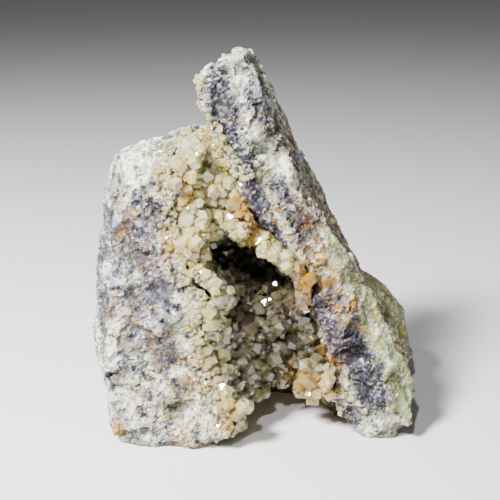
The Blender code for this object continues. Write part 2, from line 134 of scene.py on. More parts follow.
def copy_of(node, name):
    """A copy of a node's mesh in an object of its own."""
    made = bpy.data.objects.new(name, node.data.copy())
    bpy.context.scene.collection.objects.link(made)
    made.data.materials.clear()
    return made


def with_modifiers(thing):
    """Bakes the modifiers of thing into its mesh."""
    bpy.context.view_layer.update()
    graph = bpy.context.evaluated_depsgraph_get()
    mesh = bpy.data.meshes.new_from_object(thing.evaluated_get(graph))
    thing.modifiers.clear()
    thing.data = mesh
    return thing


def places_of(mesh):
    """The places of the mesh's points in millimetres."""
    flat = np.empty(len(mesh.vertices) * 3)
    mesh.vertices.foreach_get("co", flat)
    return flat.reshape(-1, 3) / MM


def normals_of(mesh):
    flat = np.empty(len(mesh.vertices) * 3)
    mesh.vertex_normals.foreach_get("vector", flat)
    return flat.reshape(-1, 3)


def merge_close(mesh):
    """Welds the loose triangles of a node's mesh."""
    bm = bmesh.new()
    bm.from_mesh(mesh)
    bmesh.ops.remove_doubles(bm, verts=bm.verts, dist=0.001 * MM)
    bm.to_mesh(mesh)
    bm.free()


rock = copy_of(rock_node, "mottled_rock")
merge_close(rock.data)
skin = rock.modifiers.new("skin", "REMESH")
skin.mode = "VOXEL"
skin.voxel_size = GRAIN_VOXEL * MM
relax = rock.modifiers.new("relax", "SMOOTH")
relax.iterations = 4
with_modifiers(rock)
places = places_of(rock.data)
normals = normals_of(rock.data)
print("rock skin", len(places), "points")

# %% [markdown]
# The stone's own marks come next: rusty and umber seams, dark bands along the limb, chalky patches,
# a mossy green on the rind, and a few small pits. Each seam holds a radius in millimetres, a
# strength and its points. They are placed one by one, because they are the marks by which this one
# stone is known. Noise alone would give some other stone.

# %% List the seams, patches and pits
RUST = [
    (1.0, 0.9, [(-3.0, -8.3, 35.9), (-1.6, -8.0, 32.0), (-0.6, -7.0, 27.8), (1.6, -8.5, 25.6)]),
    (0.6, 0.5, [(-11.4, -8.9, 42.0), (-10.8, -9.2, 37.2)]),
    (0.7, 0.7, [(-20.5, -7.3, 39.4)]), (0.6, 0.8, [(-20.5, -8.9, 31.9)]),
    (0.6, 1.0, [(0.4, -7.5, 41.9)]), (1.0, 0.7, [(-21.4, -14.7, 2.8)]),
    (1.2, 0.6, [(-5.1, -16.0, 5.7)]), (1.2, 0.9, [(10.7, -9.7, 13.1), (13.9, -11.6, 11.8)]),
    (1.0, 0.55, [(5.8, -8.6, 34.5), (7.4, -9.2, 27.7), (10.4, -11.0, 22.0), (11.9, -11.7, 17.6)]),
    (0.7, 0.6, [(-8.3, -3.4, 51.5), (-8.4, -3.0, 47.5), (-7.0, -4.6, 43.4)]),
    (0.8, 0.5, [(-13.0, -8.6, 35.0), (-13.6, -10.4, 28.0)]),
    (2.2, 1.0, [(8.4, -10.0, 26.5), (11.0, -11.0, 21.0)]),
    (2.0, 0.7, [(7.0, -8.0, 8.4), (11.0, -9.6, 7.6)]),
    (1.0, 0.3, [(-7.0, -10.0, 16.0), (-5.0, -9.0, 8.0)]),
]
DARK = [
    (1.4, 0.8, [(-6.6, -5.3, 54.0), (-6.0, -6.0, 50.9), (-4.9, -6.6, 46.6)]),
    (1.5, 1.0, [(-4.4, -6.9, 45.0), (-3.4, -7.3, 42.4), (-1.8, -8.4, 38.2), (-0.4, -8.9, 34.0),
                (1.4, -9.4, 30.4), (3.9, -10.4, 26.9), (6.6, -10.0, 23.2), (9.1, -10.8, 19.1),
                (11.2, -10.5, 15.0)]),
    (1.2, 0.7, [(-0.3, -6.0, 51.2), (1.7, -6.0, 47.3)]),
    (1.2, 0.6, [(3.7, -2.3, 45.8), (6.0, -3.6, 41.6), (9.1, -7.0, 34.1)]),
    (1.6, 1.0, [(13.2, -11.7, 15.1), (15.4, -11.7, 12.4), (17.1, -13.3, 7.6)]),
    (1.2, 0.85, [(-14.5, -8.9, 40.1), (-12.0, -8.7, 37.1)]),
    (1.0, 0.8, [(-17.8, -8.9, 37.1), (-16.1, -8.9, 36.1)]),
    (0.5, 1.0, [(-12.1, -12.4, 21.5)]), (0.35, 1.0, [(-13.6, -12.2, 20.5)]),
    (0.35, 1.0, [(-14.5, -11.8, 19.0)]), (0.6, 1.0, [(10.7, -9.2, 14.2), (15.3, -11.3, 14.2)]),
    (2.0, 0.5, [(-23.5, -3.4, 35.3), (-24.6, -3.7, 27.5), (-24.5, -9.2, 14.9)]),
    (1.0, 0.7, [(11.2, -12.2, 8.0), (14.2, -13.0, 2.4)]),
    (2.4, 0.3, [(-18.0, -10.0, 33.0), (-17.0, -11.5, 26.0)]),
    (0.9, 0.7, [(2.6, -7.6, 38.4), (6.0, -8.8, 31.6)]),
    (1.4, 0.6, [(-7.4, -5.0, 52.6), (-6.6, -5.6, 50.0)]),
]
UMBER = [
    (2.0, 0.75, [(-13.0, -13.3, 15.8), (-8.9, -14.2, 12.2)]),
    (1.6, 0.5, [(-19.0, -10.0, 30.0), (-15.0, -11.5, 26.0)]),
    (1.8, 0.6, [(-20.0, -14.0, 9.0), (-14.0, -15.0, 6.0)]),
    (1.2, 0.6, [(-16.5, -13.0, 17.0), (-12.0, -13.8, 9.0), (-17.0, -15.0, 3.5)]),
    (2.6, 0.85, [(6.5, -9.4, 31.0), (12.5, -11.0, 19.5)]),
    (2.4, 0.45, [(13.0, -12.0, 8.0), (19.0, -12.5, 3.0)]),
]
CHALK = [
    (4.2, 0.7, [(-18.0, -6.5, 42.5), (-12.5, -7.6, 42.8)]),
    (1.6, 0.9, [(-1.9, -7.1, 45.3), (-0.3, -6.0, 42.8)]),
    (1.4, 0.8, [(4.3, -6.8, 41.7), (6.6, -4.6, 39.0)]),
    (2.6, 0.85, [(-6.6, -3.0, 55.9), (-2.2, -4.2, 55.7)]),
    (1.9, 0.6, [(-11.6, -9.6, 31.7), (-11.4, -11.5, 27.0), (-9.8, -13.2, 16.6)]),
    (2.6, 0.45, [(-19.5, -13.8, 7.1), (-8.9, -15.9, 4.8)]),
    (1.5, 0.42, [(-3.6, -5.9, 52.3), (-1.2, -7.1, 45.3), (2.2, -7.8, 38.0), (5.9, -9.2, 30.8),
                 (8.9, -10.5, 23.4), (11.9, -11.5, 18.3)]),
    (2.4, 0.8, [(12.4, -11.8, 6.0), (19.2, -13.1, 1.6)]),
    (1.8, 0.8, [(-25.0, -7.3, 14.9), (-23.3, -11.6, 14.2)]),
]
MOSS = [
    (1.6, 0.9, [(10.8, -7.4, 30.4), (13.0, -9.4, 25.6), (16.2, -9.9, 20.2), (19.3, -10.6, 14.1),
                (21.4, -11.6, 9.7), (22.6, -11.8, 5.5)]),
    (5.0, 0.7, [(18.1, -1.0, 20.8), (22.0, 4.0, 12.0)]),
    (2.6, 0.45, [(-17.0, -5.0, 43.5), (-10.0, -6.0, 44.5)]),
    (2.0, 0.4, [(-5.0, -4.5, 56.5), (-1.0, -4.0, 57.0)]),
]
PITS = [
    (0.75, 0.8, (0.4, -7.5, 41.9)), (0.45, 0.6, (-12.1, -12.4, 21.5)),
    (0.4, 0.6, (-13.6, -12.2, 20.5)), (0.4, 0.6, (-14.5, -11.8, 19.0)),
]

LIMB_CRACK = [(0.45, 1.0, [(10.7, -9.2, 14.2), (15.3, -11.3, 14.2)])]
print("seams", len(RUST) + len(DARK) + len(UMBER) + len(CHALK) + len(MOSS), "pits", len(PITS))

# %% [markdown]
# Each point of the skin now moves along its normal. Lumps, blocks, chips and grains are added up,
# and from the blocks to the grains each is finer and weaker than the one before. At the back lies
# the old outside of the geode, a smoother rind: it gets only a quarter of the chips, and rounded
# waves. Displace modifiers could add smooth noise in the same way, but they have no flat tilted
# chips, so the sum is worked out here. The feet keep their height, because the stone stands on them.

# %% Push out lumps, chips and grains
LUMP_SIZE = 3.6
LUMP_PUSH = 0.4
BLOCK_SIZE = 3.4
BLOCK_PUSH = 0.85
CHIP_SIZE = 1.6
CHIP_PUSH = 0.55
GRAIN_SIZE = 0.8
GRAIN_PUSH = 0.26
WAVE_SIZE = 4.4
RIPPLE_SIZE = 1.8
WAVE_PUSH = 0.8
CRACK_DEPTH = 0.5
FOOT_FADE = 0.8
RIND_START = 2.0
RIND_END = 8.0

rind = np.clip((places[:, 1] - RIND_START) / (RIND_END - RIND_START), 0, 1)
rind = np.maximum(rind, stain(places, MOSS[:2]) * 0.8)
grainy = 1 - 0.75 * rind
spots = wandering(places, 3.0, 0.9, 1)
lumps = field(places, LUMP_SIZE, 2)
blocks = facets(spots, BLOCK_SIZE, 3)
chips = facets(spots, CHIP_SIZE, 4)
grains = facets(places, GRAIN_SIZE, 5)
push = LUMP_PUSH * lumps + grainy * (BLOCK_PUSH * blocks + CHIP_PUSH * chips + GRAIN_PUSH * grains)
waves = np.abs(field(spots, WAVE_SIZE, 6)) + 0.35 * np.abs(field(spots, RIPPLE_SIZE, 7))
push += rind * (WAVE_PUSH * (0.35 - waves) + 0.12 * grains)
for radius, depth, centre in PITS:
    near = np.linalg.norm(places - np.array(centre), axis=1) / radius
    push -= depth * np.clip(1 - near, 0, 1)
push -= CRACK_DEPTH * stain(spots, LIMB_CRACK)
standing = np.clip(places[:, 2] / FOOT_FADE, 0, 1)
moved = places + normals * (push * standing)[:, None]
moved[:, 2] = np.maximum(moved[:, 2], 0.0)
rock.data.vertices.foreach_set("co", (moved * MM).ravel())
rock.data.update()
print("pushed in and out, millimetres", round(push.min(), 2), round(push.max(), 2))

# %% [markdown]
# The colours of the rock are minerals, each one a mask kept on the points of the mesh. One mask
# is painted shade instead: it darkens the creases where the surface was pushed in. The masks are
# soft and slow, and the material below breaks their edges into single grains.

# %% Keep the stains and the painted crease shade on the rock
def keep(mesh, name, values):
    """Keeps one value between none and one on each point of the mesh."""
    mark = mesh.attributes.new(name, "FLOAT", "POINT")
    mark.data.foreach_set("value", np.clip(values, 0, 1).astype(np.float32))


LIMB_AXIS = [(-3.0, -5.0, 54.0), (2.0, -7.0, 40.0), (8.0, -8.0, 28.0), (14.0, -10.0, 16.0),
             (19.0, -11.0, 4.0)]
BEDDING = np.array([0.43, 0.0, -0.90])
left_face = np.clip((-places[:, 0] - 9.0) / 3.0, 0, 1) * (1 - rind)
height = places[:, 2]
lavender = left_face * np.clip((37.5 - height) / 4, 0, 1) * np.clip((height - 15) / 8, 0, 1)
lavender *= np.clip(0.75 + 0.9 * field(places, 5.0, 11), 0, 1)

# The limb shows the layers of the shell on edge: noise drawn out along them gives its streaks.
limb = np.clip(1.6 - distance_to(places, LIMB_AXIS) / 6.0, 0, 1)
drawn_out = places - 0.85 * (places @ BEDDING)[:, None] * BEDDING
dark_streaks = limb * np.clip(3.0 * field(drawn_out, 1.5, 12) - 0.25, 0, 1)
warm_streaks = limb * np.clip(3.0 * field(drawn_out, 1.9, 13) - 0.3, 0, 1)
pale_streaks = limb * np.clip(3.0 * field(drawn_out, 1.3, 14) - 0.2, 0, 1)
flecks = (1 - limb) * np.clip(3.2 * field(places, 1.5, 15) - 0.55, 0, 1)
blooms = np.clip(2.6 * field(places, 2.6, 16) - 0.35, 0, 1)

scattered = np.maximum(0.64 * dark_streaks, 0.8 * flecks) * grainy
keep(rock.data, "dark", np.maximum(stain(spots, DARK), scattered))
keep(rock.data, "chalk", np.maximum(stain(spots, CHALK), 0.6 * np.maximum(pale_streaks, blooms)))
low_down = np.clip(1.2 - height / 50, 0, 1)
keep(rock.data, "rust", np.maximum(stain(spots, RUST), 0.45 * warm_streaks * low_down))
keep(rock.data, "umber", np.maximum(stain(spots, UMBER), 0.5 * warm_streaks))
overgrown = rind * (0.6 + 0.5 * field(spots, 5.0, 18, 3))
keep(rock.data, "moss", np.maximum(stain(spots, MOSS), overgrown))
keep(rock.data, "lavender", lavender)
chill = np.clip((-places[:, 0] - 10) / 10, 0, 1) * (1 - rind)
keep(rock.data, "chill", np.maximum(chill, np.clip((height - 44) / 6, 0, 1)))
keep(rock.data, "warm", 0.5 + 0.9 * field(places, 5.5, 17, 3))
# Painted shade: the deeper a point was pushed in, the darker its colour, as in a shaded crease.
keep(rock.data, "hollow", np.clip(-push * 1.7, 0, 1))
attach(rock, "root")
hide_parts("rock_shell")
print("rock stained, triangles", 2 * len(rock.data.polygons))

# %% [markdown]
# Quartz grows as six-sided points. Three pattern points are built with modelling steps: a blunt
# one, a steep lopsided one and a straight one, because no two real ones are alike. The foot of each
# stays open, as it is sunk in the crust.

# %% Make the pattern points
def pattern_point(tip_share, lopsided):
    """A six-sided point of radius one and height one with its foot open, as arrays."""
    bm = bmesh.new()
    made = bmesh.ops.create_cone(
        bm, segments=6, radius1=1.0, radius2=0.92, depth=1.0, cap_ends=True, cap_tris=False
    )["verts"]
    top = [v for v in made if v.co.z > 0]
    caps = {f for v in made for f in v.link_faces if len(f.verts) == 6}
    roof = next(f for f in caps if f.calc_center_median().z > 0)
    foot = next(f for f in caps if f is not roof)
    bmesh.ops.delete(bm, geom=[foot], context="FACES_ONLY")
    tip = bmesh.ops.poke(bm, faces=[roof])["verts"][0]
    tip.co.x += lopsided
    for v in top:
        v.co.z = 0.5 - tip_share * (1.0 + 0.35 * math.sin(3 * math.atan2(v.co.y, v.co.x)))
    bmesh.ops.translate(bm, verts=bm.verts, vec=(0, 0, 0.5))
    bmesh.ops.triangulate(bm, faces=bm.faces)
    bmesh.ops.recalc_face_normals(bm, faces=bm.faces)
    bm.verts.ensure_lookup_table()
    corners = np.array([v.co for v in bm.verts])
    faces = np.array([[v.index for v in f.verts] for f in bm.faces])
    bm.free()
    return corners, faces


PATTERNS = [pattern_point(0.34, 0.15), pattern_point(0.5, 0.3), pattern_point(0.42, 0.0)]
print("pattern point", len(PATTERNS[0][1]), "triangles")

# %% [markdown]
# All small points of a druse go into one mesh, and each carries three marks for the finish: how
# rusty it is, how high a corner lies between root and tip, and how much painted shade it gets deep
# inside the hollow. Thousands of separate objects would show the same and be slow to handle.

# %% Join many points into one druse
# Lines deep in the hollow near which the quartz gets painted shade.
HOLLOW_SHADE_LINES = [
    (4.6, 1.0, [(-2.0, -6.0, 18.5), (3.0, -6.0, 19.0), (6.5, -6.0, 15.0)]),
    (4.2, 0.75, [(-4.0, -8.0, 13.0), (2.0, -8.0, 10.0)]),
    (4.2, 1.0, [(-3.5, 0.0, 26.0), (2.0, 0.0, 25.0), (7.0, 0.0, 23.0)]),
]


def druse(name, seeds):
    """One mesh of points: a seed is a foot, an axis, a radius, a length, a spin, a pattern, a tint."""
    corners, faces, tints, heights, roots = [], [], [], [], []
    count = 0
    for foot, axis, radius, length, spin, kind, tint in seeds:
        roots.append(foot)
        shape, sides = PATTERNS[kind]
        turn = axis.to_track_quat("Z", "Y").to_matrix() @ Matrix.Rotation(spin, 3, "Z")
        grown = (shape * (radius, radius, length)) @ np.array(turn).T + foot
        corners.append(grown)
        faces.append(sides + count)
        tints.append(np.full(len(shape), tint))
        heights.append(shape[:, 2])
        count += len(shape)
    mesh = bpy.data.meshes.new(name)
    mesh.from_pydata((np.concatenate(corners) * MM).tolist(), [], np.concatenate(faces).tolist())
    made = bpy.data.objects.new(name, mesh)
    bpy.context.scene.collection.objects.link(made)
    keep(mesh, "tint", np.concatenate(tints))
    keep(mesh, "height", np.concatenate(heights))
    keep(mesh, "painted_shade", np.repeat(stain(np.array(roots), HOLLOW_SHADE_LINES), [len(c) for c in corners]))
    print(name, len(seeds), "points", len(mesh.polygons), "triangles")
    return made


# %% [markdown]
# The points stand at random places on the open faces of the crust, but never two on one spot,
# because crystals that grow side by side share the room. None grows where the crust faces the
# rock, across the mouth of the deep hole, or below the table. They lean a little and vary in size,
# so the druse sparkles in all directions, and on the swellings in the hollow they grow larger.

# %% Spread seeds over the open faces of the crust
HOLE_MOUTH = ((-1.9, -9.2, 25.6), (6.5, 10.0, 2.8), 27.0)
CRUST_POINTS = 3900
ROOT = 0.35
POINT_RADII = (0.35, 0.5, 0.8, 1.15)
SWELLING = 0.3
POINT_SPACING = 0.66
POINT_LEAN = 0.55
LARGE_MASS = [(-3.0, -8.0, 18.0), (0.0, -8.0, 14.0), (5.0, -8.0, 16.0), (10.0, -9.0, 10.5)]
rng = random.Random(5)


def tree_of(thing):
    """A tree of the faces of thing, for finding near faces and casting rays."""
    bm = bmesh.new()
    bm.from_mesh(thing.data)
    tree = BVHTree.FromBMesh(bm)
    bm.free()
    return tree


rock_tree = tree_of(rock_node)
crust_tree = tree_of(crust_node)


def open_triangles(mesh):
    """Triangles of the crust that don't face the rock across the narrow gap."""
    mesh.calc_loop_triangles()
    keep_these = []
    for t in mesh.loop_triangles:
        middle = t.center
        near = rock_tree.find_nearest(middle + t.normal * 0.5 * MM)
        outside = (middle + t.normal * 0.5 * MM - near[0]).dot(near[1]) > 0
        blocked = rock_tree.ray_cast(middle, t.normal, 0.7 * MM)[0] is not None
        if outside and not blocked and middle.z > 0.5 * MM:
            keep_these.append(t)
    return keep_these


def crowded(place, room, taken, cell=1.0):
    """True if another point stands within room of place; remembers place if not."""
    key = tuple(int(math.floor(c / cell)) for c in place)
    for dx in (-1, 0, 1):
        for dy in (-1, 0, 1):
            for dz in (-1, 0, 1):
                for other in taken.get((key[0] + dx, key[1] + dy, key[2] + dz), ()):
                    if (other - place).length < room:
                        return True
    taken.setdefault(key, []).append(place)
    return False


def leaning(normal, amount):
    """The normal, turned aside at random."""
    push = Vector((rng.uniform(-1, 1), rng.uniform(-1, 1), rng.uniform(-1, 1))) * amount
    return (normal + push).normalized()


def in_mouth(place):
    """True where place lies in the mouth of the deep hole, which stays open."""
    centre, radii, turn = HOLE_MOUTH
    off = Matrix.Rotation(-math.radians(turn), 3, "Y") @ (place - Vector(centre))
    return sum((off[i] / radii[i]) ** 2 for i in range(3)) < 1


def above_table(foot, axis, radius, length):
    """True where neither end of a point dips below the table."""
    return min(foot.z, (foot + axis * length).z) > radius


def spread(mesh, count):
    """Seeds for points over the open faces, larger on the swellings inside the hollow."""
    triangles = open_triangles(mesh)
    weights = [t.area for t in triangles]
    taken, seeds = {}, []
    for t in rng.choices(triangles, weights=weights, k=count * 5):
        if len(seeds) >= count:
            break
        a, b, c = (mesh.vertices[i].co / MM for i in t.vertices)
        u, v = sorted((rng.random(), rng.random()))
        place = a * u + b * (v - u) + c * (1 - v)
        here = np.array([place])
        swollen = float(np.clip(1.6 - distance_to(here, LARGE_MASS)[0] / 5.0, 0, 1))
        size = rng.choice(POINT_RADII) + SWELLING * swollen * rng.random()
        length = size * rng.uniform(1.2, 2.1)
        axis = leaning(t.normal, POINT_LEAN)
        if in_mouth(place + axis * length * 0.8) or crowded(place, size * POINT_SPACING, taken):
            continue
        foot = place - axis * ROOT
        if not above_table(foot, axis, size, length):
            continue
        tint = float(stain(here, RUST)[0])
        seeds.append((foot, axis, size, length, rng.uniform(0, math.tau), rng.randrange(3), tint))
    return seeds


crust_seeds = spread(crust_node.data, CRUST_POINTS)
points = druse("quartz_points", crust_seeds)

# %% [markdown]
# Under the points lies the crust itself. It is a copy of the part's crust, whose large points show
# between the small ones. Its faces stay flat, as those of crystals are, and it gets the same
# marks as the points, so one finish serves both.

# %% Lay the crust under the points
crust = copy_of(crust_node, "quartz_base")
merge_close(crust.data)
crust_places = places_of(crust.data)
keep(crust.data, "tint", stain(crust_places, RUST))
keep(crust.data, "height", np.full(len(crust_places), 0.25))
keep(crust.data, "painted_shade", stain(crust_places, HOLLOW_SHADE_LINES))
for face in crust.data.polygons:
    face.use_smooth = False
for piece in (crust, points):
    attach(piece, "root")
    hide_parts("quartz_crust")

# %% [markdown]
# At the edge of the gully the druse doesn't stop at a line. Small points spill over the rim on to
# the rock, and a thin fringe of them runs up the left side of the peak.

# %% Spill small points over the rim
SPILL_POINTS = 2600
SPILL_REACH = 3.4
LIMB_SHARE = 0.18
SPILL_ROOT = 0.3
SPILL_SPACING = 0.8
FRINGE = [(2.0, 1.0, [(-8.4, -2.0, 52.0), (-8.5, -2.6, 47.5), (-6.8, -4.4, 43.1), (-4.4, -6.6, 40.0)])]


def spill(mesh, count):
    """Seeds on the rock near the crust: far over the lobe and the foot, barely over the limb."""
    mesh.calc_loop_triangles()
    triangles = [t for t in mesh.loop_triangles if t.center.y < 4 * MM and t.center.z > 1 * MM]
    middles = np.array([t.center for t in triangles]) / MM
    fringe = stain(middles, FRINGE)
    weights = []
    for t, edge in zip(triangles, fringe):
        near = crust_tree.find_nearest(t.center)[3] / MM
        facing = max(0.0, -t.normal.y)
        sugary = t.center.x < -6.5 * MM or t.center.z < 9 * MM
        reach = SPILL_REACH * (1.0 if sugary else LIMB_SHARE)
        close = max(0.0, 1 - near / reach) * facing
        weights.append(t.area * (close + 0.5 * edge))
    taken, seeds = {}, []
    for t in rng.choices(triangles, weights=weights, k=count * 3):
        if len(seeds) >= count:
            break
        place = t.center / MM
        size = rng.uniform(0.22, 0.58)
        if crowded(place, size * SPILL_SPACING, taken):
            continue
        axis = leaning(t.normal, 0.6)
        length = size * rng.uniform(1.1, 1.9)
        foot = place - axis * SPILL_ROOT
        if not above_table(foot, axis, size, length):
            continue
        tint = float(stain(np.array([place]), RUST)[0])
        seeds.append((foot, axis, size, length, rng.uniform(0, math.tau), rng.randrange(3), tint))
    return seeds


rim = druse("rim_points", spill(rock.data, SPILL_POINTS))
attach(rim, "root")

# %% [markdown]
# The two finishes are mixed in node groups, which put out only colours and values. A few helpers
# keep the mixing readable: clouds are smooth noise, and grains are crooked cells with one random
# value each. Both are measured in millimetres in the stone's own space, so they stay on the stone.

# %% Prepare the mixing of finishes
def group(name, outputs):
    """A node group that puts out the named sockets, and its output node."""
    tree = bpy.data.node_groups.new(name, "ShaderNodeTree")
    for label, kind in outputs:
        tree.interface.new_socket(label, in_out="OUTPUT", socket_type=kind)
    return tree, tree.nodes.new("NodeGroupOutput")


def put(tree, kind, values=None, **settings):
    """A new node: values go to its inputs as links or numbers, settings to its properties."""
    node = tree.nodes.new(kind)
    for label, value in settings.items():
        setattr(node, label, value)
    for label, value in (values or {}).items():
        if hasattr(value, "is_linked"):
            tree.links.new(value, node.inputs[label])
        else:
            node.inputs[label].default_value = value
    return node


def combine(tree, a, b, operation="ADD"):
    """Two values joined by one step of arithmetic."""
    return put(tree, "ShaderNodeMath", {0: a, 1: b}, operation=operation).outputs[0]


def times(tree, value, factor):
    return combine(tree, value, factor, "MULTIPLY")


def ramp(tree, value, low, high, out_low=0.0, out_high=1.0):
    """The value stretched from the range low to high, and held at its ends."""
    return put(tree, "ShaderNodeMapRange", {
        "Value": value, "From Min": low, "From Max": high, "To Min": out_low, "To Max": out_high,
    }).outputs[0]


def blend(tree, factor, under, over, how="MIX"):
    """The colour under, covered by the colour over as far as the factor says."""
    return put(tree, "ShaderNodeMix", {0: factor, 6: under, 7: over},
               data_type="RGBA", blend_type=how).outputs[2]


def cloud(tree, size, detail=3.0, rough=0.6):
    """Noise with lumps of the size in millimetres, in the stone's own space."""
    spot = put(tree, "ShaderNodeTexCoord").outputs["Object"]
    return put(tree, "ShaderNodeTexNoise", {
        "Vector": spot, "Scale": 1.0 / (size * MM), "Detail": detail, "Roughness": rough,
    }).outputs["Fac"]


def grain(tree, size, channel=0):
    """Random value for each crooked grain of the size in millimetres."""
    spot = put(tree, "ShaderNodeTexCoord").outputs["Object"]
    drift = put(tree, "ShaderNodeTexNoise", {
        "Vector": spot, "Scale": 1.6 / (size * MM), "Detail": 2.0,
    }).outputs["Color"]
    bent = put(tree, "ShaderNodeVectorMath", {0: drift, 1: (0.9 * size * MM,) * 3, 2: spot},
               operation="MULTIPLY_ADD").outputs[0]
    cells = put(tree, "ShaderNodeTexVoronoi", {"Vector": bent, "Scale": 1.0 / (size * MM)})
    return put(tree, "ShaderNodeSeparateColor", {0: cells.outputs["Color"]}).outputs[channel]


def mask(tree, name):
    """A mark that was kept on the points of the mesh."""
    return put(tree, "ShaderNodeAttribute", attribute_name=name).outputs["Fac"]


# %% [markdown]
# The rock's finish mixes its minerals grain by grain. Each mask gets a different fine noise added
# before it is cut off, so a stain thins out into single dark or pale grains at its edge. A soft
# edge would look like paint. The palette is stronger than the stone looks, because the view
# transform of a render softens strong colours.

# %% Choose the minerals' colours
CREAM = (0.64, 0.58, 0.36, 1)
GREY = (0.17, 0.19, 0.24, 1)
BUFF = (0.38, 0.22, 0.11, 1)
LAVENDER = (0.23, 0.20, 0.27, 1)
INK = (0.018, 0.018, 0.026, 1)
SLATE = (0.085, 0.08, 0.105, 1)
BROWN = (0.16, 0.075, 0.035, 1)
ORANGE = (0.53, 0.25, 0.06, 1)
CHALKY = (0.78, 0.79, 0.66, 1)
MINT = (0.235, 0.215, 0.08, 1)
ICE = (0.58, 0.70, 0.76, 1)
STRAW = (0.70, 0.66, 0.30, 1)
SAGE = (0.35, 0.39, 0.24, 1)
PEACH = (0.56, 0.31, 0.15, 1)


# %% Mix the colours of the rock
FINE_BUMP = 0.16


def broken(tree, name, size, softness, gain):
    """A mask whose edge breaks up into grains of the size in millimetres."""
    soft = times(tree, mask(tree, name), gain)
    jitter = combine(tree, grain(tree, size), cloud(tree, size * 2.5))
    threshold = ramp(tree, jitter, 0.3, 1.5)
    raised = combine(tree, soft, threshold, "SUBTRACT")
    return ramp(tree, raised, -softness, softness)


def rock_colours():
    """The layers of the rock from its grey and buff ground up to the last sparkling grains."""
    tree, out = group("rock_colours", [
        ("Color", "NodeSocketColor"), ("Roughness", "NodeSocketFloat"), ("Height", "NodeSocketFloat"),
    ])
    warmth = combine(tree, mask(tree, "warm"), times(tree, grain(tree, 0.9), 0.7))
    colour = blend(tree, ramp(tree, warmth, 0.75, 1.0), GREY, BUFF)
    paleness = combine(tree, cloud(tree, 1.6, 6.0, 0.75), times(tree, grain(tree, 0.7, 1), 0.3))
    colour = blend(tree, ramp(tree, paleness, 0.60, 0.70), colour, CREAM)
    blush = ramp(tree, cloud(tree, 1.7, 5.0, 0.8), 0.57, 0.64)
    colour = blend(tree, times(tree, blush, 0.6), colour, PEACH)
    cool = combine(tree, cloud(tree, 1.3, 6.0, 0.85), times(tree, mask(tree, "chill"), 0.08))
    colour = blend(tree, ramp(tree, cool, 0.53, 0.60, 0.0, 0.6), colour, ICE)
    sallow = ramp(tree, cloud(tree, 1.9, 6.0, 0.85), 0.46, 0.39)
    colour = blend(tree, times(tree, sallow, 0.5), colour, STRAW)
    colour = blend(tree, broken(tree, "lavender", 0.5, 0.3, 0.8), colour, LAVENDER)
    colour = blend(tree, broken(tree, "moss", 0.6, 0.35, 1.15), colour, MINT)
    colour = blend(tree, broken(tree, "umber", 0.5, 0.3, 0.95), colour, BROWN)
    colour = blend(tree, broken(tree, "rust", 0.6, 0.4, 1.0), colour, ORANGE)
    smoke = combine(tree, cloud(tree, 0.9, 5.0, 0.8), times(tree, grain(tree, 0.5, 2), 0.25))
    colour = blend(tree, ramp(tree, smoke, 0.63, 0.70, 0.0, 0.85), colour, SLATE)
    rusty = ramp(tree, cloud(tree, 1.1, 5.0, 0.85), 0.42, 0.36)
    colour = blend(tree, times(tree, rusty, 0.5), colour, BROWN)
    washed = ramp(tree, combine(tree, mask(tree, "moss"), cloud(tree, 2.2, 4.0), "MULTIPLY"), 0.22, 0.5)
    colour = blend(tree, times(tree, washed, 0.7), colour, SAGE)
    colour = blend(tree, broken(tree, "chalk", 0.5, 0.3, 0.95), colour, CHALKY)
    band = broken(tree, "dark", 0.5, 0.3, 1.0)
    colour = blend(tree, times(tree, band, 0.9), colour, SLATE)
    colour = blend(tree, broken(tree, "dark", 0.4, 0.2, 0.64), colour, INK)
    sparkle = ramp(tree, grain(tree, 0.5, 1), 0.92, 0.96)
    colour = blend(tree, times(tree, sparkle, 0.4), colour, CHALKY)
    # Painted shade darkens the creases. It is multiplied by a real fine tone that differs from grain to
    # grain.
    deep = ramp(tree, mask(tree, "hollow"), 0.05, 0.6, 1.0, 0.35)
    deep = times(tree, deep, ramp(tree, grain(tree, 0.26, 2), 0.0, 1.0, 0.70, 1.22))
    shade = put(tree, "ShaderNodeCombineColor", {0: deep, 1: deep, 2: deep}).outputs[0]
    colour = blend(tree, 1.0, colour, shade, "MULTIPLY")
    colour = put(tree, "ShaderNodeHueSaturation", {"Color": colour, "Saturation": 1.35}).outputs[0]
    tree.links.new(colour, out.inputs["Color"])
    tree.links.new(ramp(tree, sparkle, 0, 1, 0.85, 0.35), out.inputs["Roughness"])
    height = combine(tree, cloud(tree, 0.4, 4.0, 0.75), grain(tree, 0.42))
    tree.links.new(height, out.inputs["Height"])
    return tree


def new_material(name):
    """A material, its tree and its shader."""
    made = bpy.data.materials.new(name)
    made.use_nodes = True
    tree = made.node_tree
    return made, tree, tree.nodes["Principled BSDF"]


rock_finish, tree, shader = new_material("mottled_rock")
looks = put(tree, "ShaderNodeGroup", node_tree=rock_colours())
bump = put(tree, "ShaderNodeBump", {
    "Strength": 1.0, "Distance": FINE_BUMP * MM, "Height": looks.outputs["Height"],
})
tree.links.new(looks.outputs["Color"], shader.inputs["Base Color"])
tree.links.new(looks.outputs["Roughness"], shader.inputs["Roughness"])
tree.links.new(bump.outputs["Normal"], shader.inputs["Normal"])
shader.inputs["Specular IOR Level"].default_value = 0.4
rock.data.materials.append(rock_finish)
print("rock finish", len(looks.node_tree.nodes), "nodes in its group")

# %% [markdown]
# The quartz is pale yellow, milky in patches and earthy at its roots, where the dark root also
# stands in as painted shade between the points. Rust creeps into it along the seams, and deep in the
# hollow it is darkened by painted shade, with lighter tips. It lets part of the light through by
# plain transmission, and a clear coat keeps the glints on its flat faces bright.

